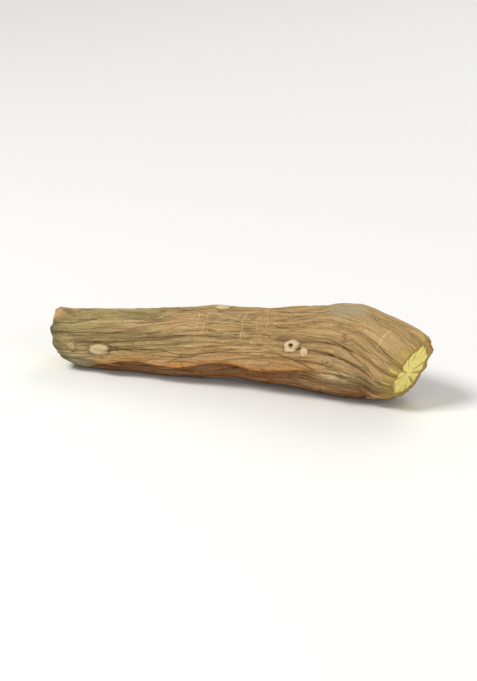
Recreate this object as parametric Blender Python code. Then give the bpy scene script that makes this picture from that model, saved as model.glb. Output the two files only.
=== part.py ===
"""A cut length of giloy, a climbing vine's corky stem, lying on its side.

The stem grew as one piece, so it is one solid: a ridged and furrowed limb that swells at a leaf joint,
dotted with corky breathing spots and cut slantwise through at both ends. X runs along the stem towards
the swollen joint, Z is up, -Y is the side that faces front, and the stem lies on two small flat spots
at Z = 0. Sizes are in metres. Places on the stem are a share of its length and an angle round it, which
is 0 in front and a quarter turn on top.
"""

import math
import random

import bmesh
import bpy
from mathutils import Vector, noise

MM = 0.001
TURN = 2 * math.pi
UNDER = -0.25 * TURN

# The limb: a slim stem that flares towards its leaf joint, bulges there, and bends away past it
LENGTH = 97 * MM
THIN_RADIUS = 7.65 * MM
TAPER = 1.1 * MM
JOINT_AT = 0.825
FLARE = 1.3 * MM
FLARE_BEFORE, FLARE_AFTER = 0.58, 0.13
JOINT_SWELL = 2.05 * MM
JOINT_SPREAD = 0.108
JOINT_SIDE = math.radians(-20)
JOINT_LEAN = 0.15
OVALNESS, OVAL_TWIST = 0.035, 3.0
SIDE_BOW = 1.4 * MM
BEND_DOWN, BEND_OUT = 2.8 * MM, 4.4 * MM

# How it lies: two feet, where the underside is worn flat, and a low arch between them
FEET = (0.20, 0.825)
FOOT_DEPTH = 0.4 * MM
FOOT_REACH = 0.085
FOOT_SPAN = math.radians(48)
ARCH = 0.5 * MM

# The grain: it climbs the front of the stem towards the joint, and past that it sweeps down again
CLIMB = math.radians(12)
SWEEP = math.radians(24)
SWEEP_FROM = 0.78
SWEEP_SIDE = math.radians(-20)
WAVER = math.radians(5)
WAVER_RATE = 7.3

# The bark: fine ribs with a crease between each two, broad folds, a few deep furrows, and slow lumps
RIB_PITCH = 2.4 * MM
RIB_RUN = 40 * MM
RIB_HEIGHT = 0.95 * MM
RIB_GAIN = 2.6
RIB_MIDDLE = 0.7
CREASE_SOFTNESS = 0.15
JOINT_RIBS = 0.7
JOINT_RIBS_AT, JOINT_RIBS_SPREAD = 0.88, 0.11
FOLD_PITCH = 6.0 * MM
FOLD_RUN = 38 * MM
FOLD_HEIGHT = 0.8 * MM
FURROW_PITCH = 8.0 * MM
FURROW_RUN = 60 * MM
FURROW_DEPTH = 0.8 * MM
FURROW_WIDTH = 0.16
LUMP_SIZE = 11 * MM
LUMP_HEIGHT = 0.5 * MM

# Where in the noise each kind of bark is taken from, so that no two follow each other
RIB_LAYER, FOLD_LAYER, FURROW_LAYER, LUMP_LAYER = 0.0, 12.9, 31.7, 57.3

# The keel: one bold wavy ridge low on the front, from the thin end to the joint, with a groove under it
KEEL_ANGLE, KEEL_CLIMB = math.radians(-20.5), math.radians(7)
KEEL_WAVE, KEEL_WAVES = math.radians(4), 4.1
KEEL_FROM, KEEL_TO = 0.08, 0.84
KEEL_START, KEEL_STOP = 0.10, 0.15
KEEL_WIDTH = math.radians(8)
KEEL_HEIGHT = 1.1 * MM
KEEL_UNDERCUT = 1.8
GROOVE_DEPTH = 0.9 * MM
GROOVE_AT, GROOVE_WIDTH = -1.7, 1.0

# The leaf scar: a smooth oval pad on top of the joint, with a rim and a dished middle
SCAR_AT, SCAR_ANGLE = 0.825, math.radians(80)
SCAR_LENGTH, SCAR_WIDTH = 10.0 * MM, 7.5 * MM
SCAR_RISE, SCAR_RIM_AT, SCAR_RIM_WIDTH = 0.5 * MM, 0.85, 0.35
SCAR_DISH, SCAR_DISH_WIDTH = 0.5 * MM, 0.55
SCAR_REACH = 1.6
SCAR_SMOOTHING = 0.75

# Breathing spots in front: share along, angle in degrees, length, width and height in millimetres
FRONT_SPOTS = (
    (0.690, 20, 3.4, 2.6, 0.80),
    (0.727, 12, 1.9, 1.7, 0.50),
    (0.465, 97, 4.0, 2.9, 0.85),
    (0.140, 0, 4.6, 2.7, 0.60),
    (0.055, 5, 2.1, 1.8, 0.45),
    (0.798, 3, 2.5, 2.1, 0.70),
    (0.824, 14, 1.8, 1.6, 0.45),
)

# Breathing spots behind, scattered by rule
BACK_SPOTS = 22
BACK_ALONG = (0.07, 0.93)
BACK_AROUND = (math.radians(138), math.radians(304))
BACK_SHIFT = 0.3
GOLDEN_SHARE = 0.618034
SPOT_LENGTHS = (2.0 * MM, 4.2 * MM)
SPOT_SLENDER = (0.70, 0.95)
SPOT_RISE = 0.21
SEED = 11

# The shape of every spot: a mound with a dished middle that fades out at its edge
SPOT_EDGE = 1.5
SPOT_MOUND_WIDTH = 0.85
SPOT_DISH, SPOT_DISH_WIDTH = 0.65, 0.38
SPOT_SMOOTHING = 0.8

# The thin end: a torn lip of bark over a bite at the top, and a worn corner below
LIP_AT, LIP_ANGLE = 0.012, math.radians(82)
LIP_RISE = 1.2 * MM
LIP_SIZE = 2.6 * MM
BITE_AT = 0.055
BITE_DEPTH = 1.5 * MM
BITE_LENGTH, BITE_WIDTH = 3.8 * MM, 8.0 * MM
CORNER_DEPTH, CORNER_REACH = 1.3 * MM, 0.03

# The cuts: how far each end face leans along X for each metre across Y and Z, and how the thin one bows
THIN_CUT = Vector((-0.22, -0.46))
THIN_CUT_BOW = 48.0
THICK_CUT = Vector((0.36, 0.40))
THIN_CUT_REACH, THICK_CUT_REACH = 0.16, 0.14
RIM_ROUND, RIM_REACH = 0.5 * MM, 0.006

# The slice pared off the bark beside the thick end's cut
SLICE_DEPTH = 1.6 * MM
SLICE_LENGTH = 0.05
SLICE_SIDE = math.radians(-25)

# The cut wood: bundles of vessels in a wheel round the pith, inside a ring of bark; places are shares of
# the way out from the middle
BUNDLES = 13
BUNDLE_UNEVEN, BUNDLE_DRIFT = 0.22, 2.5
PITH, PITH_EDGE = 0.13, 0.08
PITH_DEPTH = 0.5 * MM
WOOD, WOOD_EDGE = 0.80, 0.06
RAY_DEPTH = 0.4 * MM
RAY_WIDTH, RAY_START = 0.24, 0.2
BARK_GROOVE = 0.35 * MM
BARK_GROOVE_AT, BARK_GROOVE_WIDTH = 0.84, 0.045
SAW_HEIGHT = 0.12 * MM
SAW_MARKS = 9.0
BUNDLE_LAYER, SAW_LAYER = 3.1, 8.8

# The mesh: how finely the blank is turned, and about how many triangles are kept
SIDES = 210
RINGS = 220
CAP_RINGS = 22
TRIANGLES = 11500
WELD = 1e-6
CUT_SNAP = 0.002 * MM

# The bark's plain looks
BARK_COLOUR = (0.35, 0.25, 0.11, 1)
BARK_ROUGHNESS = 0.85


def bell(distance, spread):
    """1 at the middle, falling smoothly to nothing a few spreads away."""
    return math.exp(-((distance / spread) ** 2))


def ease(value):
    """0 below 0, 1 above 1, and a smooth step between."""
    value = min(max(value, 0.0), 1.0)
    return value * value * (3 - 2 * value)


def turned(angle):
    """The same angle between half a turn back and half a turn on."""
    return (angle + math.pi) % TURN - math.pi


def between(ends, share):
    """The value that lies this share of the way from the first of two ends to the second."""
    return ends[0] + (ends[1] - ends[0]) * share


def smooth_radius(along, angle):
    """The limb's radius with no bark on it: slim, slightly oval, and swollen to one side at the joint."""
    oval = 1 + OVALNESS * math.cos(2 * angle + OVAL_TWIST * along)
    flare = FLARE * bell(along - JOINT_AT, FLARE_BEFORE if along < JOINT_AT else FLARE_AFTER)
    lean = 1 + JOINT_LEAN * math.cos(angle - JOINT_SIDE)
    swell = JOINT_SWELL * lean * bell(along - JOINT_AT, JOINT_SPREAD)
    return (THIN_RADIUS + TAPER * along) * oval + flare + swell


def grain_angle(along, angle):
    """Which rib of the bark runs here, as the angle it starts from at the thin end."""
    down = SWEEP * ease((along - SWEEP_FROM) / (1 - SWEEP_FROM)) * (0.5 + 0.5 * math.cos(angle - SWEEP_SIDE))
    return angle - CLIMB * along + down + WAVER * math.sin(WAVER_RATE * along + 2 * angle)


def bark_noise(along, grain, pitch, run, layer):
    """Noise drawn out along the grain: pitch across it and run along it are the size of its features."""
    girth = THIN_RADIUS / pitch
    start = along * LENGTH / run + layer
    return noise.noise(Vector((start, girth * math.cos(grain), girth * math.sin(grain))))


def foot_share(along, angle):
    """1 on the two worn flat spots of the underside, and 0 away from them."""
    across = ease(2 - 2 * abs(turned(angle - UNDER)) / FOOT_SPAN)
    return across * max(ease(2 - 2 * abs(along - foot) / FOOT_REACH) for foot in FEET)


def oval_distance(along, angle, spot_along, spot_angle, length, width):
    """Distance from a spot's middle on the bark, where 1 is its oval outline."""
    step = (along - spot_along) * LENGTH / (0.5 * length)
    turn = turned(angle - spot_angle) * smooth_radius(spot_along, spot_angle) / (0.5 * width)
    return math.hypot(step, turn)


def breathing_spots():
    """Every spot as (along, angle, length, width, height): those in front by hand, those behind by rule."""
    spots = [
        (along, math.radians(angle), length * MM, width * MM, height * MM)
        for along, angle, length, width, height in FRONT_SPOTS
    ]
    draw = random.Random(SEED)
    for i in range(BACK_SPOTS):
        along = between(BACK_ALONG, (i + 0.5 + draw.uniform(-BACK_SHIFT, BACK_SHIFT)) / BACK_SPOTS)
        angle = between(BACK_AROUND, (i * GOLDEN_SHARE) % 1.0)
        length = draw.uniform(*SPOT_LENGTHS)
        width = length * draw.uniform(*SPOT_SLENDER)
        if foot_share(along, angle) == 0:
            spots.append((along, angle, length, width, SPOT_RISE * length))
    return spots


def spot_relief(along, angle, spots):
    """(height, cover): the raised corky rings with dished middles, and how much of the bark they cover."""
    height, cover = 0.0, 0.0
    for spot_along, spot_angle, length, width, rise in spots:
        if abs(along - spot_along) * LENGTH > 0.5 * SPOT_EDGE * length:
            continue
        far = oval_distance(along, angle, spot_along, spot_angle, length, width)
        if far < SPOT_EDGE:
            mound = bell(far, SPOT_MOUND_WIDTH) * ease(4 * (1 - far / SPOT_EDGE))
            dish = SPOT_DISH * bell(far, SPOT_DISH_WIDTH)
            height = max(height, rise * (mound - dish))
            cover = max(cover, ease(SPOT_EDGE * (SPOT_EDGE - far)))
    return height, cover


def scar_relief(along, angle):
    """(height, cover) of the leaf scar on the joint."""
    far = oval_distance(along, angle, SCAR_AT, SCAR_ANGLE, SCAR_LENGTH, SCAR_WIDTH)
    rim = SCAR_RISE * bell(far - SCAR_RIM_AT, SCAR_RIM_WIDTH)
    dish = SCAR_DISH * bell(far, SCAR_DISH_WIDTH)
    return rim - dish, ease(SCAR_REACH - far)


def keel_place(along, angle):
    """How far above the keel's crest a point of the bark is, in keel widths."""
    crest = KEEL_ANGLE + KEEL_CLIMB * along + KEEL_WAVE * math.cos(KEEL_WAVES * TURN * along)
    return turned(angle - crest) / KEEL_WIDTH


def keel_run(along):
    """1 where the keel is full, and 0 past its ends."""
    return ease((along - KEEL_FROM) / KEEL_START) * ease((KEEL_TO - along) / KEEL_STOP)


def keel_relief(along, angle):
    """The keel's ridge, steeper below than above, and the groove under it."""
    place = keel_place(along, angle)
    ridge = KEEL_HEIGHT * bell(place if place > 0 else KEEL_UNDERCUT * place, 1.0)
    groove = GROOVE_DEPTH * bell(place - GROOVE_AT, GROOVE_WIDTH)
    return keel_run(along) * (ridge - groove)


def rib_relief(along, grain):
    """Ribs with a crease between each two, and the deep furrows."""
    across = RIB_GAIN * bark_noise(along, grain, RIB_PITCH, RIB_RUN, RIB_LAYER)
    crease = min(math.hypot(across, CREASE_SOFTNESS), 1.0)
    strength = 1 + JOINT_RIBS * bell(along - JOINT_RIBS_AT, JOINT_RIBS_SPREAD)
    line = abs(bark_noise(along, grain, FURROW_PITCH, FURROW_RUN, FURROW_LAYER))
    furrow = FURROW_DEPTH * ease(1 - line / FURROW_WIDTH)
    return RIB_HEIGHT * strength * (math.sqrt(crease) - RIB_MIDDLE) - furrow


def fold_relief(along, grain):
    """Broad folds and slow lumps."""
    folds = FOLD_HEIGHT * bark_noise(along, grain, FOLD_PITCH, FOLD_RUN, FOLD_LAYER)
    return folds + LUMP_HEIGHT * bark_noise(along, grain, LUMP_SIZE, LUMP_SIZE, LUMP_LAYER)


def slice_share(along, angle):
    """How much of the bark is pared away beside the thick end's cut."""
    side = ease(0.5 + math.cos(angle - SLICE_SIDE))
    return side * ease((along - 1 + SLICE_LENGTH) / SLICE_LENGTH)


def end_relief(along, angle):
    """The lip, bite and corner of the thin end, the slice off the thick end, and both worn rims."""
    lip = LIP_RISE * bell(oval_distance(along, angle, LIP_AT, LIP_ANGLE, LIP_SIZE, LIP_SIZE), 1.0)
    bite = BITE_DEPTH * bell(oval_distance(along, angle, BITE_AT, LIP_ANGLE, BITE_LENGTH, BITE_WIDTH), 1.0)
    corner = CORNER_DEPTH * bell(along, CORNER_REACH) * ease(-math.sin(angle))
    sliced = SLICE_DEPTH * slice_share(along, angle)
    rim = RIM_ROUND * (bell(along, RIM_REACH) + bell(1 - along, RIM_REACH))
    return lip - bite - corner - sliced - rim


def stem_radius(along, angle, spots):
    """The limb's radius with its bark, spots, scar and worn ends."""
    grain = grain_angle(along, angle)
    spot_height, spot_cover = spot_relief(along, angle, spots)
    scar_height, scar_cover = scar_relief(along, angle)
    bark = rib_relief(along, grain) + fold_relief(along, grain) + keel_relief(along, angle)
    bark *= (1 - SPOT_SMOOTHING * spot_cover) * (1 - SCAR_SMOOTHING * scar_cover)
    shown = 1 - foot_share(along, angle)
    return smooth_radius(along, angle) + (bark + spot_height + scar_height) * shown + end_relief(along, angle)


def ray_nearness(angle):
    """1 on a ray between two bundles of the wheel, and 0 in the middle of a bundle."""
    across, up = (BUNDLE_DRIFT * part(angle) for part in (math.cos, math.sin))
    uneven = noise.noise(Vector((across, up, BUNDLE_LAYER)))
    sector = angle * BUNDLES / TURN + BUNDLE_UNEVEN * uneven
    return abs((sector % 1.0) - 0.5) * 2


def wheel_relief(out, angle):
    """How far the cut face sinks: rays between bundles, the pith, a groove inside the bark, saw marks."""
    ray = ease((ray_nearness(angle) - 1 + RAY_WIDTH / max(out, RAY_START)) * out / RAY_WIDTH)
    in_wood = ease((out - PITH) / PITH_EDGE) * ease((WOOD - out) / WOOD_EDGE)
    groove = BARK_GROOVE * bell(out - BARK_GROOVE_AT, BARK_GROOVE_WIDTH)
    pith = PITH_DEPTH * ease((PITH - out) / PITH_EDGE)
    across, up = (SAW_MARKS * out * part(angle) for part in (math.cos, math.sin))
    saw = SAW_HEIGHT * noise.noise(Vector((across, up, SAW_LAYER)))
    return RAY_DEPTH * ray * in_wood + groove + pith + saw


def axis_point(along):
    """A point on the stem's middle line, which bows a little to the side and lies level on the two feet."""
    near, far = FEET
    near_height, far_height = (smooth_radius(foot, UNDER) - FOOT_DEPTH for foot in FEET)
    share = (along - near) / (far - near)
    arch = ARCH * max(4 * share * (1 - share), 0.0)
    bend = max((along - JOINT_AT) / (1 - JOINT_AT), 0.0) ** 2
    height = near_height + (far_height - near_height) * min(share, 1.0) + arch - BEND_DOWN * bend
    side = SIDE_BOW * math.sin(math.pi * along) - BEND_OUT * bend
    return Vector(((along - 0.5) * LENGTH, side, height))


def slant(along, offset):
    """How far along X the ends' slanting cuts push a point that lies at offset from the middle line."""
    thin = ease(1 - along / THIN_CUT_REACH) * (THIN_CUT.dot(offset) + THIN_CUT_BOW * offset.y ** 2)
    thick = ease(1 - (1 - along) / THICK_CUT_REACH) * THICK_CUT.dot(offset)
    return thin + thick


def turned_blank():
    """A round blank of unit length and radius on the X axis, closed at both ends by rings of faces."""
    rims = [ring / CAP_RINGS for ring in range(CAP_RINGS)]
    profile = [(0.0, out) for out in rims]
    profile += [(ring / RINGS, 1.0) for ring in range(RINGS + 1)]
    profile += [(1.0, out) for out in reversed(rims)]
    blank = bmesh.new()
    points = [blank.verts.new((x, -out, 0.0)) for x, out in profile]
    edges = [blank.edges.new(pair) for pair in zip(points, points[1:])]
    bmesh.ops.spin(
        blank, geom=points + edges, cent=(0, 0, 0), axis=(1, 0, 0), angle=TURN, steps=SIDES, use_merge=True
    )
    bmesh.ops.remove_doubles(blank, verts=blank.verts, dist=WELD)
    bmesh.ops.recalc_face_normals(blank, faces=blank.faces)
    return blank


def carve(blank):
    """Moves every point of the blank to its place on the stem."""
    spots = breathing_spots()
    for vert in blank.verts:
        along = min(max(vert.co.x, 0.0), 1.0)
        out = min(math.hypot(vert.co.y, vert.co.z), 1.0)
        angle = math.atan2(vert.co.z, -vert.co.y)
        radius = out * stem_radius(along, angle, spots)
        offset = Vector((-radius * math.cos(angle), radius * math.sin(angle)))
        inset = 0.0
        if out < 1 - WELD:
            inset = wheel_relief(out, angle) * (1 if along < 0.5 else -1)
        vert.co = axis_point(along) + Vector((slant(along, offset) + inset, offset.x, offset.y))


def wear_feet(shape):
    """Cuts the feet off level with the floor, and closes each cut with one flat face."""
    everything = shape.verts[:] + shape.edges[:] + shape.faces[:]
    cut = bmesh.ops.bisect_plane(
        shape, geom=everything, dist=CUT_SNAP, plane_co=(0, 0, 0), plane_no=(0, 0, 1), clear_inner=True
    )
    edges = [item for item in cut["geom_cut"] if isinstance(item, bmesh.types.BMEdge)]
    bmesh.ops.holes_fill(shape, edges=edges, sides=0)
    for vert in shape.verts:
        if vert.co.z < CUT_SNAP:
            vert.co.z = 0.0


def centre(shape):
    """Puts the middle of the shape's box over the origin."""
    for axis in (0, 1):
        low, high = (pick(vert.co[axis] for vert in shape.verts) for pick in (min, max))
        for vert in shape.verts:
            vert.co[axis] -= (low + high) / 2


def thinned(stem):
    """The stem's mesh with its flat stretches thinned to few faces."""
    faces = sum(len(face.vertices) - 2 for face in stem.data.polygons)
    modifier = stem.modifiers.new("thinned", "DECIMATE")
    modifier.ratio = TRIANGLES / faces
    graph = bpy.context.evaluated_depsgraph_get()
    mesh = bpy.data.meshes.new_from_object(stem.evaluated_get(graph))
    stem.modifiers.clear()
    return mesh


def bark_material():
    """Dull olive-brown cork."""
    material = bpy.data.materials.new("stem_bark")
    material.use_nodes = True
    shader = material.node_tree.nodes["Principled BSDF"]
    shader.inputs["Base Color"].default_value = BARK_COLOUR
    shader.inputs["Roughness"].default_value = BARK_ROUGHNESS
    shader.inputs["Metallic"].default_value = 0.0
    return material


def giloy_stem():
    """The whole stem as one object, standing on the floor over the origin."""
    shape = turned_blank()
    carve(shape)
    mesh = bpy.data.meshes.new("giloy_stem")
    shape.to_mesh(mesh)
    mesh.materials.append(bark_material())
    stem = bpy.data.objects.new("giloy_stem", mesh)
    bpy.context.scene.collection.objects.link(stem)
    stem.data = thinned(stem)
    shape.clear()
    shape.from_mesh(stem.data)
    wear_feet(shape)
    centre(shape)
    shape.to_mesh(stem.data)
    shape.free()
    return stem


def main():
    for obj in list(bpy.data.objects):
        bpy.data.objects.remove(obj)
    giloy_stem()


main()
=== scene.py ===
"""Looks of a cut length of giloy: corky ribbed bark, breathing spots, a leaf scar and yellow cut wood.

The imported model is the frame. One fine mesh of the stem replaces its solid: the same form, worked out from
the same sizes, with the finest grain of the bark, ragged spots and torn rims added. X runs along the stem
towards its swollen joint, Z is up and -Y is the side that faces front. Sizes are in metres. Places on the
stem are a share of its length and an angle round it, which is 0 in front and a quarter turn on top.
"""

import math
import random

import bmesh
import bpy
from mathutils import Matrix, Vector, noise


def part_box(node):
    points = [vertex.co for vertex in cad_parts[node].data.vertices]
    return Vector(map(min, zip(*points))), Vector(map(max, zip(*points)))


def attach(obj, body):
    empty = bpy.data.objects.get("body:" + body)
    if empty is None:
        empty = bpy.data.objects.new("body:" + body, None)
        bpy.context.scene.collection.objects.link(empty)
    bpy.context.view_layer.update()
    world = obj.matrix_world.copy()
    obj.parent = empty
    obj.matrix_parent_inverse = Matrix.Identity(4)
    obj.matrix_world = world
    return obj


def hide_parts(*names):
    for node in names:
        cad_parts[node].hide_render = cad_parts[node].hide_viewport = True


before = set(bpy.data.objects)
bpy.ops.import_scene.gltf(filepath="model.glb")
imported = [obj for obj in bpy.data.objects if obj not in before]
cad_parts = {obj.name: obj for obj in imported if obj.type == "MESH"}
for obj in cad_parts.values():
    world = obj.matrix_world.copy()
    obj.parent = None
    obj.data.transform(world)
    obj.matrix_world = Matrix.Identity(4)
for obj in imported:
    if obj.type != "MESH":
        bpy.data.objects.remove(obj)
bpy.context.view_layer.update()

MM = 0.001
TURN = 2 * math.pi
UNDER = -0.25 * TURN

# The limb: a slim stem that flares towards its leaf joint, bulges there, and bends away past it
LENGTH = 97 * MM
THIN_RADIUS = 7.65 * MM
TAPER = 1.1 * MM
JOINT_AT = 0.825
FLARE = 1.3 * MM
FLARE_BEFORE, FLARE_AFTER = 0.58, 0.13
JOINT_SWELL = 2.05 * MM
JOINT_SPREAD = 0.108
JOINT_SIDE = math.radians(-20)
JOINT_LEAN = 0.15
OVALNESS, OVAL_TWIST = 0.035, 3.0
SIDE_BOW = 1.4 * MM
BEND_DOWN, BEND_OUT = 2.8 * MM, 4.4 * MM

# How it lies: two feet, where the underside is worn flat, and a low arch between them
FEET = (0.20, 0.825)
FOOT_DEPTH = 0.4 * MM
FOOT_REACH = 0.085
FOOT_SPAN = math.radians(48)
ARCH = 0.5 * MM

# The grain: it climbs the front of the stem towards the joint, and past that it sweeps down again
CLIMB = math.radians(12)
SWEEP = math.radians(24)
SWEEP_FROM = 0.78
SWEEP_SIDE = math.radians(-20)
WAVER = math.radians(5)
WAVER_RATE = 7.3

# The bark: fine ribs with a crease between each two, broad folds, a few deep furrows, and slow lumps
RIB_PITCH = 2.4 * MM
RIB_RUN = 40 * MM
RIB_HEIGHT = 0.95 * MM
RIB_GAIN = 2.6
RIB_MIDDLE = 0.7
CREASE_SOFTNESS = 0.15
JOINT_RIBS = 0.7
JOINT_RIBS_AT, JOINT_RIBS_SPREAD = 0.88, 0.11
FOLD_PITCH = 6.0 * MM
FOLD_RUN = 38 * MM
FOLD_HEIGHT = 0.8 * MM
FURROW_PITCH = 8.0 * MM
FURROW_RUN = 60 * MM
FURROW_DEPTH = 0.8 * MM
FURROW_WIDTH = 0.16
LUMP_SIZE = 11 * MM
LUMP_HEIGHT = 0.5 * MM

# Where in the noise each kind of bark is taken from, so that no two follow each other
RIB_LAYER, FOLD_LAYER, FURROW_LAYER, LUMP_LAYER = 0.0, 12.9, 31.7, 57.3

# Finer bark than the solid holds: threads along the grain, a skin of cork grains, and one long crease
THREAD_PITCH = 0.95 * MM
THREAD_RUN = 15 * MM
THREAD_HEIGHT = 0.38 * MM
THREAD_GAIN = 3.0
CORK_PITCH = 0.7 * MM
CORK_RUN = 1.6 * MM
CORK_HEIGHT = 0.14 * MM
THREAD_LAYER, CORK_LAYER = 71.0, 83.0
SEAM_ANGLE, SEAM_CLIMB = math.radians(29), math.radians(29)
SEAM_FROM, SEAM_TO, SEAM_FADE = 0.60, 0.90, 0.05
SEAM_WIDTH = math.radians(1.6)
SEAM_DEPTH = 0.5 * MM

# The keel: one bold wavy ridge low on the front, from the thin end to the joint, with a groove under it
KEEL_ANGLE, KEEL_CLIMB = math.radians(-20.5), math.radians(7)
KEEL_WAVE, KEEL_WAVES = math.radians(4), 4.1
KEEL_FROM, KEEL_TO = 0.08, 0.84
KEEL_START, KEEL_STOP = 0.10, 0.15
KEEL_WIDTH = math.radians(8)
KEEL_HEIGHT = 1.1 * MM
KEEL_UNDERCUT = 1.8
GROOVE_DEPTH = 0.9 * MM
GROOVE_AT, GROOVE_WIDTH = -1.7, 1.0

# The leaf scar: a smooth oval pad on top of the joint, with a rim and a dished middle
SCAR_AT, SCAR_ANGLE = 0.825, math.radians(80)
SCAR_LENGTH, SCAR_WIDTH = 10.0 * MM, 7.5 * MM
SCAR_RISE, SCAR_RIM_AT, SCAR_RIM_WIDTH = 0.5 * MM, 0.85, 0.35
SCAR_DISH, SCAR_DISH_WIDTH = 0.5 * MM, 0.55
SCAR_REACH = 1.6
SCAR_SMOOTHING = 0.75

# Breathing spots in front: share along, angle in degrees, length, width and height in millimetres, how pale
# the ring is and how dark the heart is
FRONT_SPOTS = (
    (0.690, 20, 3.4, 2.6, 0.80, 1.00, 1.0),
    (0.727, 12, 1.9, 1.7, 0.50, 0.90, 0.1),
    (0.465, 97, 4.0, 2.9, 0.85, 0.90, 0.0),
    (0.140, 0, 4.6, 2.7, 0.60, 0.75, 0.1),
    (0.055, 5, 2.1, 1.8, 0.45, 0.35, 0.1),
    (0.798, 3, 2.5, 2.1, 0.70, 0.15, 0.4),
    (0.824, 14, 1.8, 1.6, 0.45, 0.10, 0.1),
)

# Breathing spots behind, scattered by rule
BACK_SPOTS = 22
BACK_ALONG = (0.07, 0.93)
BACK_AROUND = (math.radians(138), math.radians(304))
BACK_SHIFT = 0.3
GOLDEN_SHARE = 0.618034
SPOT_LENGTHS = (2.0 * MM, 4.2 * MM)
SPOT_SLENDER = (0.70, 0.95)
SPOT_RISE = 0.21
SPOT_PALENESS = (0.10, 0.70)
SPOT_HEARTS = (0.0, 0.45)
SPOT_RAGGED = 0.30
RAGGED_WIDE, RAGGED_NARROW, RAGGED_SHARE = 1.1, 3.3, 0.5
LAYER_ALONG, LAYER_ROUND = 40, 3
SEED = 11

# The shape of every spot: a mound with a dished middle that fades out at its edge
SPOT_EDGE = 1.5
SPOT_MOUND_WIDTH = 0.85
SPOT_DISH, SPOT_DISH_WIDTH = 0.65, 0.38
SPOT_SMOOTHING = 0.8

# The thin end: a torn lip of bark over a bite at the top, and a worn corner below
LIP_AT, LIP_ANGLE = 0.012, math.radians(82)
LIP_RISE = 1.2 * MM
LIP_SIZE = 2.6 * MM
BITE_AT = 0.055
BITE_DEPTH = 1.5 * MM
BITE_LENGTH, BITE_WIDTH = 3.8 * MM, 8.0 * MM
CORNER_DEPTH, CORNER_REACH = 1.3 * MM, 0.03

# The cuts: how far each end face leans along X for each metre across Y and Z, and how the thin one bows
THIN_CUT = Vector((-0.22, -0.46))
THIN_CUT_BOW = 48.0
THICK_CUT = Vector((0.36, 0.40))
THIN_CUT_REACH, THICK_CUT_REACH = 0.16, 0.14
RIM_ROUND, RIM_REACH = 0.5 * MM, 0.006

# The slice pared off the bark beside the thick end's cut
SLICE_DEPTH = 1.6 * MM
SLICE_LENGTH = 0.05
SLICE_SIDE = math.radians(-25)

# The cut wood: bundles of vessels in a wheel round the pith, inside a ring of bark; places are shares of
# the way out from the middle
BUNDLES = 13
BUNDLE_UNEVEN, BUNDLE_DRIFT = 0.22, 2.5
PITH, PITH_EDGE = 0.13, 0.08
PITH_DEPTH = 0.5 * MM
WOOD, WOOD_EDGE = 0.80, 0.06
RAY_DEPTH = 0.4 * MM
RAY_WIDTH, RAY_START = 0.24, 0.2
BARK_GROOVE = 0.35 * MM
BARK_GROOVE_AT, BARK_GROOVE_WIDTH = 0.84, 0.045
SAW_HEIGHT = 0.12 * MM
SAW_MARKS = 9.0
BUNDLE_LAYER, SAW_LAYER = 3.1, 8.8

# The torn bark round both cuts: broad tears, with finer splinters where the bark stands out
TEAR_DEPTH = 0.8 * MM
TEAR_COUNT = 3.0
TEAR_LAYERS = (0.0, 6.1)
TEAR_REACH = 0.012
SPLINTER_SHARE, SPLINTER_COUNT = 1.2, 5

# The fine mesh: how finely the blank is turned, and the angle past which an edge is sharp
SIDES = 300
RINGS = 250
CAP_RINGS = 24
WELD = 1e-6
CUT_SNAP = 0.002 * MM
SHARP = math.radians(50)


def bell(distance, spread):
    """1 at the middle, falling smoothly to nothing a few spreads away."""
    return math.exp(-((distance / spread) ** 2))


def ease(value):
    """0 below 0, 1 above 1, and a smooth step between."""
    value = min(max(value, 0.0), 1.0)
    return value * value * (3 - 2 * value)


def turned(angle):
    """The same angle between half a turn back and half a turn on."""
    return (angle + math.pi) % TURN - math.pi


def between(ends, share):
    """The value that lies this share of the way from the first of two ends to the second."""
    return ends[0] + (ends[1] - ends[0]) * share


def smooth_radius(along, angle):
    """The limb's radius with no bark on it: slim, slightly oval, and swollen to one side at the joint."""
    oval = 1 + OVALNESS * math.cos(2 * angle + OVAL_TWIST * along)
    flare = FLARE * bell(along - JOINT_AT, FLARE_BEFORE if along < JOINT_AT else FLARE_AFTER)
    lean = 1 + JOINT_LEAN * math.cos(angle - JOINT_SIDE)
    swell = JOINT_SWELL * lean * bell(along - JOINT_AT, JOINT_SPREAD)
    return (THIN_RADIUS + TAPER * along) * oval + flare + swell


def grain_angle(along, angle):
    """Which rib of the bark runs here, as the angle it starts from at the thin end."""
    down = SWEEP * ease((along - SWEEP_FROM) / (1 - SWEEP_FROM)) * (0.5 + 0.5 * math.cos(angle - SWEEP_SIDE))
    return angle - CLIMB * along + down + WAVER * math.sin(WAVER_RATE * along + 2 * angle)


def bark_noise(along, grain, pitch, run, layer):
    """Noise drawn out along the grain: pitch across it and run along it are the size of its features."""
    girth = THIN_RADIUS / pitch
    start = along * LENGTH / run + layer
    return noise.noise(Vector((start, girth * math.cos(grain), girth * math.sin(grain))))


def foot_share(along, angle):
    """1 on the two worn flat spots of the underside, and 0 away from them."""
    across = ease(2 - 2 * abs(turned(angle - UNDER)) / FOOT_SPAN)
    return across * max(ease(2 - 2 * abs(along - foot) / FOOT_REACH) for foot in FEET)


def oval_place(along, angle, spot_along, spot_angle, length, width):
    """Place on the bark as seen from a spot's middle, where 1 away is the spot's oval outline."""
    step = (along - spot_along) * LENGTH / (0.5 * length)
    turn = turned(angle - spot_angle) * smooth_radius(spot_along, spot_angle) / (0.5 * width)
    return step, turn


def oval_distance(*place):
    """Distance from a spot's middle on the bark, where 1 is its oval outline."""
    return math.hypot(*oval_place(*place))


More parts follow.
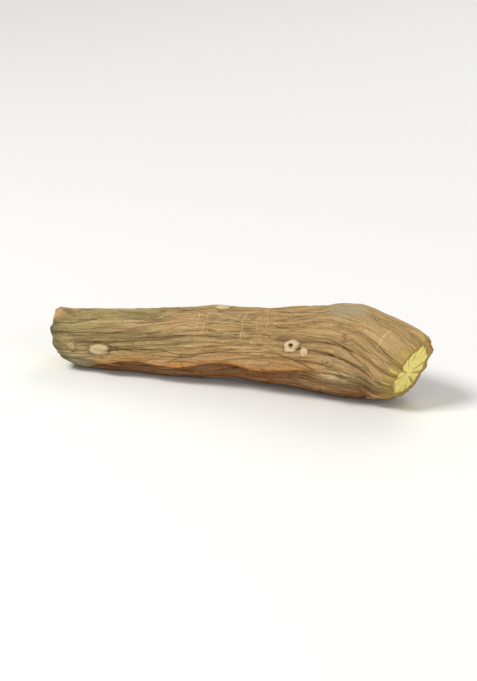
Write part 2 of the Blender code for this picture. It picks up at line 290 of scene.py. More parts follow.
def breathing_spots():
    """Every spot as (along, angle, length, width, height, paleness, heart): those behind come by rule."""
    spots = [
        (along, math.radians(angle), length * MM, width * MM, height * MM, paleness, heart)
        for along, angle, length, width, height, paleness, heart in FRONT_SPOTS
    ]
    draw = random.Random(SEED)
    tint = random.Random(SEED + 1)
    for i in range(BACK_SPOTS):
        along = between(BACK_ALONG, (i + 0.5 + draw.uniform(-BACK_SHIFT, BACK_SHIFT)) / BACK_SPOTS)
        angle = between(BACK_AROUND, (i * GOLDEN_SHARE) % 1.0)
        length = draw.uniform(*SPOT_LENGTHS)
        width = length * draw.uniform(*SPOT_SLENDER)
        look = tint.uniform(*SPOT_PALENESS), tint.uniform(*SPOT_HEARTS)
        if foot_share(along, angle) == 0:
            spots.append((along, angle, length, width, SPOT_RISE * length, *look))
    return spots


def ragged_edge(step, turn, layer):
    """How much farther out than its oval a spot's outline lies, as a share."""
    wide = noise.noise(Vector((RAGGED_WIDE * step, RAGGED_WIDE * turn, layer)))
    narrow = noise.noise(Vector((RAGGED_NARROW * step, RAGGED_NARROW * turn, layer)))
    return SPOT_RAGGED * (wide + RAGGED_SHARE * narrow)


def spot_relief(along, angle, spots):
    """(height, cover, look): the corky rings, how much bark they cover, and the nearest spot's look.

    The look is a vector: distance from the spot's middle, paleness of its ring and darkness of its heart.
    """
    height, cover, look = 0.0, 0.0, Vector((2.0, 0.0, 0.0))
    for spot_along, spot_angle, length, width, rise, paleness, heart in spots:
        if abs(along - spot_along) * LENGTH > length:
            continue
        step, turn = oval_place(along, angle, spot_along, spot_angle, length, width)
        layer = LAYER_ALONG * spot_along + LAYER_ROUND * spot_angle
        far = math.hypot(step, turn) * (1 + ragged_edge(step, turn, layer))
        if far < look.x:
            look = Vector((far, paleness, heart))
        if far < SPOT_EDGE:
            mound = bell(far, SPOT_MOUND_WIDTH) * ease(4 * (1 - far / SPOT_EDGE))
            dish = SPOT_DISH * bell(far, SPOT_DISH_WIDTH)
            height = max(height, rise * (mound - dish))
            cover = max(cover, ease(SPOT_EDGE * (SPOT_EDGE - far)))
    return height, cover, look


def scar_relief(along, angle):
    """(height, cover) of the leaf scar on the joint."""
    far = oval_distance(along, angle, SCAR_AT, SCAR_ANGLE, SCAR_LENGTH, SCAR_WIDTH)
    rim = SCAR_RISE * bell(far - SCAR_RIM_AT, SCAR_RIM_WIDTH)
    dish = SCAR_DISH * bell(far, SCAR_DISH_WIDTH)
    return rim - dish, ease(SCAR_REACH - far)


def keel_place(along, angle):
    """How far above the keel's crest a point of the bark is, in keel widths."""
    crest = KEEL_ANGLE + KEEL_CLIMB * along + KEEL_WAVE * math.cos(KEEL_WAVES * TURN * along)
    return turned(angle - crest) / KEEL_WIDTH


def keel_run(along):
    """1 where the keel is full, and 0 past its ends."""
    return ease((along - KEEL_FROM) / KEEL_START) * ease((KEEL_TO - along) / KEEL_STOP)


def keel_relief(along, angle):
    """The keel's ridge, steeper below than above, and the groove under it."""
    place = keel_place(along, angle)
    ridge = KEEL_HEIGHT * bell(place if place > 0 else KEEL_UNDERCUT * place, 1.0)
    groove = GROOVE_DEPTH * bell(place - GROOVE_AT, GROOVE_WIDTH)
    return keel_run(along) * (ridge - groove)


def rib_relief(along, grain):
    """Ribs with a crease between each two, and the deep furrows."""
    across = RIB_GAIN * bark_noise(along, grain, RIB_PITCH, RIB_RUN, RIB_LAYER)
    crease = min(math.hypot(across, CREASE_SOFTNESS), 1.0)
    strength = 1 + JOINT_RIBS * bell(along - JOINT_RIBS_AT, JOINT_RIBS_SPREAD)
    line = abs(bark_noise(along, grain, FURROW_PITCH, FURROW_RUN, FURROW_LAYER))
    furrow = FURROW_DEPTH * ease(1 - line / FURROW_WIDTH)
    return RIB_HEIGHT * strength * (math.sqrt(crease) - RIB_MIDDLE) - furrow


def fold_relief(along, grain):
    """Broad folds and slow lumps."""
    folds = FOLD_HEIGHT * bark_noise(along, grain, FOLD_PITCH, FOLD_RUN, FOLD_LAYER)
    return folds + LUMP_HEIGHT * bark_noise(along, grain, LUMP_SIZE, LUMP_SIZE, LUMP_LAYER)


def fine_relief(along, angle, grain):
    """What the solid leaves out: threads, cork grains and the long crease above the joint's front."""
    thread = min(THREAD_GAIN * abs(bark_noise(along, grain, THREAD_PITCH, THREAD_RUN, THREAD_LAYER)), 1.0)
    threads = THREAD_HEIGHT * (math.sqrt(thread) - RIB_MIDDLE)
    cork = CORK_HEIGHT * bark_noise(along, grain, CORK_PITCH, CORK_RUN, CORK_LAYER)
    seam_run = ease((along - SEAM_FROM) / SEAM_FADE) * ease((SEAM_TO - along) / SEAM_FADE)
    seam = SEAM_DEPTH * seam_run * bell(turned(angle - SEAM_ANGLE - SEAM_CLIMB * along), SEAM_WIDTH)
    return threads + cork - seam


def slice_share(along, angle):
    """How much of the bark is pared away beside the thick end's cut."""
    side = ease(0.5 + math.cos(angle - SLICE_SIDE))
    return side * ease((along - 1 + SLICE_LENGTH) / SLICE_LENGTH)


def end_relief(along, angle):
    """The lip, bite and corner of the thin end, the slice off the thick end, and both worn rims."""
    lip = LIP_RISE * bell(oval_distance(along, angle, LIP_AT, LIP_ANGLE, LIP_SIZE, LIP_SIZE), 1.0)
    bite = BITE_DEPTH * bell(oval_distance(along, angle, BITE_AT, LIP_ANGLE, BITE_LENGTH, BITE_WIDTH), 1.0)
    corner = CORNER_DEPTH * bell(along, CORNER_REACH) * ease(-math.sin(angle))
    sliced = SLICE_DEPTH * slice_share(along, angle)
    rim = RIM_ROUND * (bell(along, RIM_REACH) + bell(1 - along, RIM_REACH))
    return lip - bite - corner - sliced - rim


def ray_nearness(angle):
    """1 on a ray between two bundles of the wheel, and 0 in the middle of a bundle."""
    across, up = (BUNDLE_DRIFT * part(angle) for part in (math.cos, math.sin))
    uneven = noise.noise(Vector((across, up, BUNDLE_LAYER)))
    sector = angle * BUNDLES / TURN + BUNDLE_UNEVEN * uneven
    return abs((sector % 1.0) - 0.5) * 2


def torn_rim(out, angle, layer):
    """How far the ring of bark round a cut face stands out of it or falls short of it."""
    across, up = (TEAR_COUNT * part(angle) for part in (math.cos, math.sin))
    wide = noise.noise(Vector((across, up, layer)))
    fine = noise.noise(Vector((SPLINTER_COUNT * across, SPLINTER_COUNT * up, layer)))
    splinter = SPLINTER_SHARE * max(wide, 0.0) * fine
    in_bark = ease((out - BARK_GROOVE_AT) / (1 - BARK_GROOVE_AT))
    return TEAR_DEPTH * (wide + splinter) * in_bark


def wheel_relief(out, angle):
    """How far the cut face sinks: rays between bundles, the pith, a groove inside the bark, saw marks."""
    ray = ease((ray_nearness(angle) - 1 + RAY_WIDTH / max(out, RAY_START)) * out / RAY_WIDTH)
    in_wood = ease((out - PITH) / PITH_EDGE) * ease((WOOD - out) / WOOD_EDGE)
    groove = BARK_GROOVE * bell(out - BARK_GROOVE_AT, BARK_GROOVE_WIDTH)
    pith = PITH_DEPTH * ease((PITH - out) / PITH_EDGE)
    across, up = (SAW_MARKS * out * part(angle) for part in (math.cos, math.sin))
    saw = SAW_HEIGHT * noise.noise(Vector((across, up, SAW_LAYER)))
    return RAY_DEPTH * ray * in_wood + groove + pith + saw


def axis_point(along):
    """A point on the stem's middle line, which bows a little to the side and lies level on the two feet."""
    near, far = FEET
    near_height, far_height = (smooth_radius(foot, UNDER) - FOOT_DEPTH for foot in FEET)
    share = (along - near) / (far - near)
    arch = ARCH * max(4 * share * (1 - share), 0.0)
    bend = max((along - JOINT_AT) / (1 - JOINT_AT), 0.0) ** 2
    height = near_height + (far_height - near_height) * min(share, 1.0) + arch - BEND_DOWN * bend
    side = SIDE_BOW * math.sin(math.pi * along) - BEND_OUT * bend
    return Vector(((along - 0.5) * LENGTH, side, height))


def slant(along, offset):
    """How far along X the ends' slanting cuts push a point that lies at offset from the middle line."""
    thin = ease(1 - along / THIN_CUT_REACH) * (THIN_CUT.dot(offset) + THIN_CUT_BOW * offset.y ** 2)
    thick = ease(1 - (1 - along) / THICK_CUT_REACH) * THICK_CUT.dot(offset)
    return thin + thick


def turned_blank():
    """A round blank of unit length and radius on the X axis, closed at both ends by rings of faces."""
    rims = [ring / CAP_RINGS for ring in range(CAP_RINGS)]
    profile = [(0.0, out) for out in rims]
    profile += [(ring / RINGS, 1.0) for ring in range(RINGS + 1)]
    profile += [(1.0, out) for out in reversed(rims)]
    blank = bmesh.new()
    points = [blank.verts.new((x, -out, 0.0)) for x, out in profile]
    edges = [blank.edges.new(pair) for pair in zip(points, points[1:])]
    bmesh.ops.spin(
        blank, geom=points + edges, cent=(0, 0, 0), axis=(1, 0, 0), angle=TURN, steps=SIDES, use_merge=True
    )
    bmesh.ops.remove_doubles(blank, verts=blank.verts, dist=WELD)
    bmesh.ops.recalc_face_normals(blank, faces=blank.faces)
    return blank


def carve(blank):
    """Moves every point of the blank to its place on the stem, and notes there what the finishes need.

    grain: place on the straightened bark, in metres: along the stem, and on a circle round it
    place: share along, and the cosine and sine of the angle round the stem from its front
    marks: height of the ribs and threads in millimetres, how much is pared away, and how much is leaf scar
    spot: distance to the nearest breathing spot, and the spot's paleness and heart
    keel: how far above the keel's crest in keel widths, and how full the keel is there
    wheel: place on the unit disc of a cut face, and how near a ray is
    """
    spots = breathing_spots()
    names = ("grain", "place", "marks", "spot", "keel", "wheel")
    grain, place, marks, spot, keel, wheel = (blank.verts.layers.float_vector.new(name) for name in names)
    for vert in blank.verts:
        along = min(max(vert.co.x, 0.0), 1.0)
        out = min(math.hypot(vert.co.y, vert.co.z), 1.0)
        angle = math.atan2(vert.co.z, -vert.co.y)
        rib = grain_angle(along, angle)
        spot_height, spot_cover, spot_look = spot_relief(along, angle, spots)
        scar_height, scar_cover = scar_relief(along, angle)
        ribs = rib_relief(along, rib) + fine_relief(along, angle, rib)
        ribs *= (1 - SPOT_SMOOTHING * spot_cover) * (1 - SCAR_SMOOTHING * scar_cover)
        broad = fold_relief(along, rib) + keel_relief(along, angle)
        broad *= (1 - SPOT_SMOOTHING * spot_cover) * (1 - SCAR_SMOOTHING * scar_cover)
        shown = 1 - foot_share(along, angle)
        relief = (ribs + broad + spot_height + scar_height) * shown
        radius = out * (smooth_radius(along, angle) + relief + end_relief(along, angle))
        offset = Vector((-radius * math.cos(angle), radius * math.sin(angle)))
        end = round(along)
        inset = torn_rim(out, angle, TEAR_LAYERS[end]) * ease(1 - abs(along - end) / TEAR_REACH)
        if out < 1 - WELD:
            inset += wheel_relief(out, angle) * (1 - 2 * end)
        vert.co = axis_point(along) + Vector((slant(along, offset) + inset, offset.x, offset.y))
        vert[grain] = Vector((along * LENGTH, THIN_RADIUS * math.cos(rib), THIN_RADIUS * math.sin(rib)))
        vert[place] = Vector((along, math.cos(angle), math.sin(angle)))
        vert[marks] = Vector((ribs / MM, slice_share(along, angle), scar_cover))
        vert[spot] = spot_look
        vert[keel] = Vector((keel_place(along, angle), keel_run(along), 0))
        vert[wheel] = Vector((out * math.cos(angle), out * math.sin(angle), ray_nearness(angle)))


def wear_feet(shape):
    """Cuts the feet off level with the floor, and closes each cut with one flat face."""
    everything = shape.verts[:] + shape.edges[:] + shape.faces[:]
    cut = bmesh.ops.bisect_plane(
        shape, geom=everything, dist=CUT_SNAP, plane_co=(0, 0, 0), plane_no=(0, 0, 1), clear_inner=True
    )
    edges = [item for item in cut["geom_cut"] if isinstance(item, bmesh.types.BMEdge)]
    bmesh.ops.holes_fill(shape, edges=edges, sides=0)
    for vert in shape.verts:
        if vert.co.z < CUT_SNAP:
            vert.co.z = 0.0


def fit_to(shape, low, high):
    """Moves and stretches the shape, by a hair, so that its box is the one from low to high."""
    for axis in range(3):
        least, most = (pick(vert.co[axis] for vert in shape.verts) for pick in (min, max))
        stretch = (high[axis] - low[axis]) / (most - least)
        for vert in shape.verts:
            vert.co[axis] = low[axis] + (vert.co[axis] - least) * stretch


class Wire:
    """A shader socket that arithmetic works on: an expression on wires adds the Math nodes it needs."""

    def __init__(self, finish, socket):
        self.finish = finish
        self.socket = socket

    def math(self, operation, *values):
        return self.finish.node(
            "ShaderNodeMath", {"operation": operation}, dict(enumerate(values))
        )

    def __add__(self, other):
        return self.math("ADD", self, other)

    def __sub__(self, other):
        return self.math("SUBTRACT", self, other)

    def __rsub__(self, other):
        return self.math("SUBTRACT", other, self)

    def __mul__(self, other):
        return self.math("MULTIPLY", self, other)

    def __truediv__(self, other):
        return self.math("DIVIDE", self, other)

    def __pow__(self, other):
        return self.math("POWER", self, other)

    def __abs__(self):
        return self.math("ABSOLUTE", self)

    __radd__ = __add__
    __rmul__ = __mul__

    def part(self, index):
        """X, Y or Z of a vector."""
        return self.finish.node("ShaderNodeSeparateXYZ", {}, {0: self}, index)

    def stretched(self, x, y, z):
        """The vector times a length for each axis."""
        return self.finish.node("ShaderNodeVectorMath", {"operation": "MULTIPLY"}, {0: self, 1: (x, y, z)})

    def shifted(self, other):
        """The vector plus another."""
        return self.finish.node("ShaderNodeVectorMath", {"operation": "ADD"}, {0: self, 1: other})

    def rise(self, low, high):
        """0 below low, 1 above high and smooth between; with high under low it falls instead."""
        settings = {"interpolation_type": "SMOOTHSTEP"}
        if low < high:
            return self.finish.node("ShaderNodeMapRange", settings, {0: self, 1: low, 2: high})
        return 1 - self.rise(high, low)


class Finish:
    """A material, and what adds shader nodes to it."""

    def __init__(self, name):
        self.material = bpy.data.materials.new(name)
        self.material.use_nodes = True
        self.tree = self.material.node_tree
        self.shader = self.tree.nodes["Principled BSDF"]

    def node(self, kind, settings, inputs, output=0):
        """One output of a new node, after its settings are made and its sockets are fed."""
        made = self.tree.nodes.new(kind)
        for name, value in settings.items():
            setattr(made, name, value)
        for name, value in inputs.items():
            self.feed(made.inputs[name], value)
        return Wire(self, made.outputs[output])

    def feed(self, socket, value):
        """Links a wire to a socket, or sets the socket to a plain value."""
        if isinstance(value, Wire):
            self.tree.links.new(value.socket, socket)
        else:
            socket.default_value = value

    def noted(self, name):
        """What the mesh holds under this name at each point, as a vector."""
        return self.node("ShaderNodeAttribute", {"attribute_name": name}, {}, "Vector")

    def noise(self, where, size, detail=3.0, roughness=0.55):
        """Noise between 0 and 1 with features of about this size in metres."""
        inputs = {"Vector": where, "Scale": 1 / size, "Detail": detail, "Roughness": roughness}
        return self.node("ShaderNodeTexNoise", {}, inputs)

    def cells(self, where, size, feature="F1"):
        """Distance to the nearest of a scatter of points, which lie about a size apart."""
        return self.node("ShaderNodeTexVoronoi", {"feature": feature}, {"Vector": where, "Scale": 1 / size})

    def blend(self, share, first, second):
        """first where share is 0 and second where it is 1, as colours."""
        inputs = {0: share, 6: opaque(first), 7: opaque(second)}
        return self.node("ShaderNodeMix", {"data_type": "RGBA"}, inputs, 2)

    def bump(self, height, distance):
        """A normal that is tilted as a surface with this height would be; distance is in metres."""
        return self.node("ShaderNodeBump", {}, {"Height": height, "Distance": distance, "Strength": 1.0})

    def paint(self, colour, roughness, normal):
        """Feeds the surface."""
        self.feed(self.shader.inputs["Base Color"], colour)
        self.feed(self.shader.inputs["Roughness"], roughness)
        self.feed(self.shader.inputs["Normal"], normal)


def opaque(colour):
    """A colour with its alpha added, or a wire as it is."""
    return colour if isinstance(colour, Wire) else (*colour, 1.0)


# Bark colours, linear
OLIVE = (0.40, 0.305, 0.125)
TAN = (0.47, 0.305, 0.125)
ROSY = (0.58, 0.36, 0.165)
ASH = (0.50, 0.385, 0.19)
# RUST_AND_SHADE is the bark's own rust-brown and also painted shade on the lower front; AMBER_AND_HIGHLIGHT
# is partly a painted highlight on the keel's crest; MAUVE_SHADE is painted shade.
RUST_AND_SHADE = (0.33, 0.115, 0.024)
AMBER_AND_HIGHLIGHT = (0.50, 0.205, 0.04)
MAUVE_SHADE = (0.24, 0.078, 0.022)
# CREVICE: the bark's own dark brown in streaks and grains, and also painted shade in creases and fissures.
CREVICE = (0.075, 0.042, 0.014)
CREAM = (0.84, 0.65, 0.38)
SPOT_BROWN = (0.20, 0.105, 0.04)
SPOT_HEART = (0.045, 0.022, 0.010)
LEAF_GREEN = (0.32, 0.29, 0.10)
TIP_GREEN = (0.13, 0.13, 0.045)
LICHEN_GREY = (0.37, 0.32, 0.185)

# Cut wood colours, linear
WOOD_YELLOW = (0.93, 0.77, 0.19)
WOOD_PALE = (0.97, 0.91, 0.46)
RAY_GREEN = (0.50, 0.40, 0.06)
CAMBIUM = (0.30, 0.21, 0.035)
RIM_OLIVE = (0.44, 0.30, 0.085)


def bark_finish():
    """Corky bark: olive to tan, streaked along the grain, cream where it is broken, with painted shade in
    its creases and on its underside, and painted highlight on its ribs.
    """
    bark = Finish("giloy_bark")
    grain, place, marks = bark.noted("grain"), bark.noted("place"), bark.noted("marks")
    along, front, up = place.part(0), place.part(1), place.part(2)
    relief, pared, scar = marks.part(0), marks.part(1), marks.part(2)
    open_bark = bark.noted("spot").part(0).rise(1.0, 1.5)

    fibres = bark.noise(grain.stretched(0.04, 1, 1), 0.42 * MM, 6.0, 0.68)
    streaks = bark.noise(grain.stretched(0.06, 1, 1), 1.5 * MM, 5.0, 0.6)
    bands = bark.noise(grain.stretched(0.10, 1, 1), 4.5 * MM, 2.0)
    patches = bark.noise(grain.stretched(0.5, 1, 1), 7 * MM, 3.0)
    mottle = bark.noise(grain.stretched(0.5, 1, 1), 0.8 * MM, 5.0, 0.68)
    crumbs = bark.noise(grain.stretched(0.7, 1, 1), 0.16 * MM, 3.0, 0.65)
    worn = bark.noise(grain.stretched(0.25, 1, 1), 3.5 * MM, 3.0).rise(0.36, 0.62)
    fissures = bark_fissures(bark, grain, worn) * open_bark

    greenness = (along + 0.5 * (patches - 0.5)).rise(0.55, 0.15)
    colour = bark.blend(greenness, TAN, OLIVE)
    colour = bark.blend(bands.rise(0.50, 0.66) * 0.6, colour, ROSY)
    colour = bark.blend(patches.rise(0.56, 0.70) * 0.5, colour, ASH)
    colour = bark.blend(streaks.rise(0.52, 0.64) * greenness * 0.30, colour, LEAF_GREEN)
    # Painted shade on the lower front and under the keel, and the keel's amber crest, partly a painted
    # highlight.
    colour = low_front_shade_and_tints(bark, colour, front, up, streaks, patches)

    colour = bark.blend(streaks.rise(0.47, 0.30) * 0.32, colour, CREVICE)
    colour = bark.blend(fibres.rise(0.50, 0.30) * open_bark * 0.42, colour, CREVICE)
    colour = bark.blend(fibres.rise(0.52, 0.72) * 0.45, colour, CREAM)
    # Painted shade in the creases of the carved ribs and threads, and painted highlight, rosy, on their
    # crests.
    colour = bark.blend(relief.rise(-0.35, -1.00) * 0.42, colour, CREVICE)
    colour = bark.blend(relief.rise(0.05, 0.50) * 0.22, colour, ROSY)
    # The fissures are darkened with the crevice brown: partly the bark's own dark, partly painted shade in
    # them.
    colour = bark.blend(fissures * 0.52, colour, CREVICE)
    colour = bark.blend(mottle.rise(0.58, 0.74) * 0.35, colour, CREAM)
    colour = bark.blend(mottle.rise(0.42, 0.26) * 0.35, colour, CREVICE)
    colour = bark.blend(scar * 0.75, colour, LICHEN_GREY)

    cracks = cross_cracks(bark, grain, place) * relief.rise(-0.55, 0.10)
    colour = bark.blend(cracks * 0.8, colour, CREAM)
    colour = spot_tints(bark, colour, crumbs, mottle)

    grey = along.rise(0.14, 0.05) * (up + 0.6 * (patches - 0.5)).rise(0.10, -0.20)
    colour = bark.blend(grey * 0.6, colour, LICHEN_GREY)
    tip = (along + 0.05 * (mottle - 0.5)).rise(0.045, 0.0)
    colour = bark.blend(tip * 0.7, colour, TIP_GREEN)
    knob = (up - 0.35 * front + 2.0 * (streaks - 0.5) * along).rise(0.55, 0.85) * along.rise(0.04, 0.015)
    colour = bark.blend(knob * 0.8, colour, ROSY)
    near_cut = (along + 0.03 * (streaks - 0.5)).rise(0.965, 0.995)
    colour = bark.blend(near_cut * 0.5, colour, RIM_OLIVE)
    colour = bark.blend(pared.rise(0.25, 0.75) * 0.7, colour, RIM_OLIVE)
    colour = bark.blend(pared.rise(0.3, 0.9) * streaks.rise(0.50, 0.62) * 0.6, colour, WOOD_YELLOW)
    colour = bark.blend(crumbs.rise(0.48, 0.25) * 0.45, colour, CREVICE)
    colour = bark.blend(crumbs.rise(0.55, 0.78) * 0.30, colour, CREAM)

    height = 0.9 * fibres * (0.25 + 0.75 * open_bark) + 0.4 * streaks + 0.7 * mottle + 0.35 * crumbs
    height = height - 0.30 * cracks - 0.55 * fissures + 0.45 * crumbs * (1 - open_bark)
    bark.shader.inputs["Specular IOR Level"].default_value = 0.25
    bark.paint(colour, 0.66 + 0.28 * mottle, bark.bump(height, 0.75 * MM))
    return bark.material


def bark_fissures(bark, grain, worn):
    """1 in the fissures between long narrow plates of bark, in a wide mesh and a fine one."""
    drift = bark.node(
        "ShaderNodeTexNoise", {}, {"Vector": grain.stretched(0.35, 1, 1), "Scale": 1 / (2.2 * MM)}, "Color"
    )
    bent = grain.shifted(drift.stretched(0, 1.1 * MM, 1.1 * MM))
    wide = bark.cells(bent.stretched(0.09, 1, 1), 2.4 * MM, "DISTANCE_TO_EDGE") / (0.012 + 0.030 * worn)
    narrow = bark.cells(bent.stretched(0.07, 1, 1), 0.9 * MM, "DISTANCE_TO_EDGE") / (0.09 - 0.085 * worn)
    return 1 - (1 - worn * wide.rise(1.0, 0.15)) * (1 - 0.5 * narrow.rise(1.0, 0.15))


def low_front_shade_and_tints(bark, colour, front, up, streaks, patches):
    """Painted shade on the lower front, rust-brown, and on the underside, mauve; a rust band above the keel,
    and along the keel an amber crest, partly a painted highlight, with mauve painted shade in its undercut
    below.
    """
    # Painted shade: the lower front is tinted rust-brown and the underside below it mauve, as if they lay in
    # shade.
    low_front_shade = (up + 0.42 * front + 0.24 * (streaks - 0.5)).rise(-0.20, -0.50)
    colour = bark.blend(low_front_shade * 0.8, colour, RUST_AND_SHADE)
    deep_under_shade = (up + 0.1 * (patches - 0.5)).rise(-0.62, -0.86)
    colour = bark.blend(deep_under_shade * 0.4, colour, MAUVE_SHADE)
    keel = bark.noted("keel")
    above, fullness = keel.part(0) + 0.7 * (streaks - 0.5), keel.part(1)
    colour = bark.blend(above.rise(5.0, 0.5) * above.rise(-0.5, 0.0) * fullness * 0.35, colour, RUST_AND_SHADE)
    # The keel's crest is painted amber: partly rubbed bark, partly a painted highlight along the lit edge of
    # the ledge.
    crest = above.rise(-0.55, -0.25) * above.rise(0.7, -0.1) * fullness
    colour = bark.blend(crest * (0.4 + 1.2 * streaks), colour, AMBER_AND_HIGHLIGHT)
    # Painted shade: the band under the keel's crest is darkened mauve where the ledge overhangs it.
    undercut_shade = above.rise(-6.5, -1.2) * above.rise(-0.25, -0.60) * fullness
    return bark.blend(undercut_shade * 0.9, colour, MAUVE_SHADE)


def spot_tints(bark, colour, crumbs, mottle):
    """Crumbly cream rings with dark hearts, each set in a brown edge."""
    spot = bark.noted("spot")
    far = spot.part(0) + 0.45 * (mottle - 0.5) + 0.25 * (crumbs - 0.5)
    paleness, heart = spot.part(1), spot.part(2)
    colour = bark.blend(far.rise(1.75, 1.20) * (0.15 + 0.5 * paleness), colour, SPOT_BROWN)
    ring = far.rise(1.30, 0.95) * paleness * (0.6 + 0.8 * mottle)
    colour = bark.blend(ring, colour, CREAM)
    colour = bark.blend(mottle.rise(0.47, 0.34) * far.rise(1.3, 1.0) * 0.45, colour, SPOT_BROWN)
    return bark.blend(far.rise(0.50, 0.25) * heart, colour, SPOT_HEART)


# Pale cracks that run round the stem: share along, angle in degrees, half length round, lean and width in mm
CROSS_CRACKS = (
    (0.417, 44, 4.2, 0.04, 0.22),
    (0.434, 44, 4.2, -0.18, 0.22),
    (0.545, 50, 4.0, 0.04, 0.24),
    (0.585, 56, 2.2, 0.0, 0.18),
    (0.610, 57, 2.8, 0.05, 0.20),
    (0.632, 56, 1.6, 0.0, 0.16),
    (0.575, 21, 1.0, 0.0, 0.22),
    (0.620, 26, 1.0, 0.0, 0.22),
    (0.930, 55, 3.2, -0.10, 0.14),
)


def cross_cracks(bark, grain, place):
    """1 along the pale cracks across the grain: those that show in front, and faint ones all round."""
    wander = bark.noise(grain, 2.2 * MM, 2.0)
    faint = bark.noise(grain.stretched(1.0, 0.12, 0.12), 1.0 * MM, 2.0)
    broken = bark.noise(grain, 1.6 * MM, 3.0)
    cracks = faint.rise(0.64, 0.72) * broken.rise(0.54, 0.64) * 0.3
    along, front, up = place.part(0), place.part(1), place.part(2)
    for crack_along, degrees, half_length, lean, width in CROSS_CRACKS:
        middle = math.radians(degrees)
        reach = THIN_RADIUS / MM
        round_mm = reach * (up * math.cos(middle) - front * math.sin(middle))
        facing = (up * math.sin(middle) + front * math.cos(middle)).rise(0.0, 0.2)
        along_mm = (along - crack_along) * (LENGTH / MM) + lean * round_mm + 1.6 * (wander - 0.5)
        line = abs(along_mm).rise(width, 0.2 * width) * abs(round_mm).rise(half_length, 0.6 * half_length)
        line = line * broken.rise(0.34, 0.52)
        cracks = cracks.math("MAXIMUM", cracks, line * facing)
    return cracks


def wood_finish():
    """Cut wood: a wheel of yellow bundles with darker rays between them, a pale pith and an olive rim."""
    wood = Finish("giloy_cut_wood")
    wheel = wood.noted("wheel")
    across, up, near_ray = wheel.part(0), wheel.part(1), wheel.part(2)
    out = (across ** 2 + up ** 2) ** 0.5
    disc = wheel.stretched(THIN_RADIUS, THIN_RADIUS, 0)
    spokes = wood.node("ShaderNodeCombineXYZ", {}, {0: across / out, 1: up / out, 2: 0.35 * out})

    radial = wood.noise(spokes, 0.055, 4.0, 0.65)
    fibres = wood.noise(disc, 0.30 * MM, 4.0, 0.65)
    pores = wood.cells(disc, 0.42 * MM)
    saw = wood.noise(disc.stretched(0.12, 1, 0), 0.28 * MM, 4.0, 0.65)

    colour = wood.blend(fibres.rise(0.40, 0.66) * 0.6, WOOD_YELLOW, WOOD_PALE)
    colour = wood.blend(radial.rise(0.48, 0.34) * 0.30, colour, RAY_GREEN)
    ray = (near_ray + 0.35 * (radial - 0.5)).rise(0.70, 0.92) * out.rise(PITH, PITH + 0.12)
    colour = wood.blend(ray * 0.85, colour, RAY_GREEN)
    colour = wood.blend(pores.rise(0.24, 0.12) * out.rise(0.2, 0.4) * 0.42, colour, RAY_GREEN)
    colour = wood.blend(saw.rise(0.54, 0.70) * 0.25, colour, RAY_GREEN)
    colour = wood.blend(out.rise(WOOD - 0.03, WOOD + 0.02) * 0.85, colour, CAMBIUM)
    colour = wood.blend(out.rise(WOOD + 0.05, WOOD + 0.10), colour, RIM_OLIVE)
    colour = wood.blend(fibres.rise(0.50, 0.35) * out.rise(WOOD + 0.04, WOOD + 0.10) * 0.5, colour, CREVICE)
    colour = wood.blend((out + 0.05 * (fibres - 0.5)).rise(0.94, 0.985), colour, RUST_AND_SHADE)
    colour = wood.blend(out.rise(PITH + 0.03, PITH - 0.03) * 0.7, colour, WOOD_PALE)

    height = 0.7 * fibres + 0.5 * saw + 0.5 * radial + 0.4 * pores.rise(0.10, 0.30) - 0.5 * ray
    wood.shader.inputs["Specular IOR Level"].default_value = 0.3
    wood.paint(colour, 0.60 + 0.25 * fibres, wood.bump(height, 0.45 * MM))
    return wood.material


def fine_stem():
    """The stem itself, which takes the place of its plain solid."""
    shape = turned_blank()
    for face in shape.faces:
        face.material_index = int(abs(face.normal.x) > 0.5)
        face.smooth = True
    carve(shape)
    wear_feet(shape)
    fit_to(shape, *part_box("giloy_stem"))
    mesh = bpy.data.meshes.new("stem")
    shape.to_mesh(mesh)
    shape.free()
    mesh.materials.append(bark_finish())
    mesh.materials.append(wood_finish())
    mesh.set_sharp_from_angle(angle=SHARP)
    stem = bpy.data.objects.new("stem", mesh)
    bpy.context.scene.collection.objects.link(stem)
    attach(stem, "root")
    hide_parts("giloy_stem")
    return stem


# The stage: a wide pale floor
FLOOR_HALF = 4.0
FLOOR_COLOUR = (0.74, 0.74, 0.73)


def floor():
    """A plain pale floor under the stem."""
    shape = bmesh.new()
    bmesh.ops.create_grid(shape, x_segments=1, y_segments=1, size=FLOOR_HALF)
    mesh = bpy.data.meshes.new("floor")
    shape.to_mesh(mesh)
    shape.free()
    pale = Finish("pale_floor")
    pale.shader.inputs["Base Color"].default_value = opaque(FLOOR_COLOUR)
    pale.shader.inputs["Roughness"].default_value = 0.6
    mesh.materials.append(pale.material)
    ground = bpy.data.objects.new("floor", mesh)
    bpy.context.scene.collection.objects.link(ground)


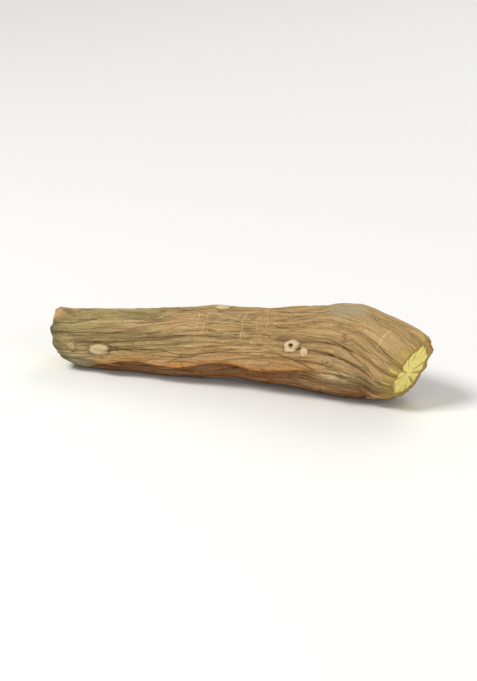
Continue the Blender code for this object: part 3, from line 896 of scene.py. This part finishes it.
# Lights: where each stands, its side length in metres, its power in watts and its colour
SOFTBOXES = (
    ("key", (-0.38, -0.30, 0.62), 0.26, 5.8, (1.0, 0.98, 0.95)),
    ("fill", (0.60, -0.42, 0.25), 0.50, 2.5, (1.0, 0.99, 0.97)),
    ("back", (0.10, 0.55, 0.45), 0.40, 1.4, (1.0, 0.99, 0.98)),
)
SKY = (1.0, 0.99, 0.97)
SKY_STRENGTH = 0.40


def aim(thing, target):
    """Turns a light or the camera to look at a point."""
    thing.rotation_euler = (Vector(target) - thing.location).to_track_quat("-Z", "Y").to_euler()


def lights():
    """Soft studio light from three sides, and a pale sky."""
    for name, place, side, power, colour in SOFTBOXES:
        lamp = bpy.data.lights.new(name, "AREA")
        lamp.size = side
        lamp.energy = power
        lamp.color = colour
        softbox = bpy.data.objects.new(name, lamp)
        softbox.location = place
        bpy.context.scene.collection.objects.link(softbox)
        aim(softbox, (0, 0, 0.01))
    world = bpy.data.worlds.new("sky")
    world.use_nodes = True
    sky = world.node_tree.nodes["Background"]
    sky.inputs["Color"].default_value = opaque(SKY)
    sky.inputs["Strength"].default_value = SKY_STRENGTH
    bpy.context.scene.world = world
    bpy.context.scene.view_settings.view_transform = "Standard"


# The camera stands in front and to the right, and looks down on the stem
AZIMUTH, ELEVATION = math.radians(17), math.radians(21)
DISTANCE = 0.62
LENS = 180.0
SENSOR = 36.0
TARGET = Vector((0.0005, 0.0, 0.011))


def camera():
    """The camera, at the photograph's viewing angle."""
    eye = bpy.data.cameras.new("camera")
    eye.lens = LENS
    eye.sensor_width = SENSOR
    eye.sensor_fit = "HORIZONTAL"
    seat = bpy.data.objects.new("camera", eye)
    back = Vector(
        (
            math.sin(AZIMUTH) * math.cos(ELEVATION),
            -math.cos(AZIMUTH) * math.cos(ELEVATION),
            math.sin(ELEVATION),
        )
    )
    seat.location = TARGET + DISTANCE * back
    bpy.context.scene.collection.objects.link(seat)
    aim(seat, TARGET)
    bpy.context.scene.camera = seat


fine_stem()
floor()
lights()
camera()
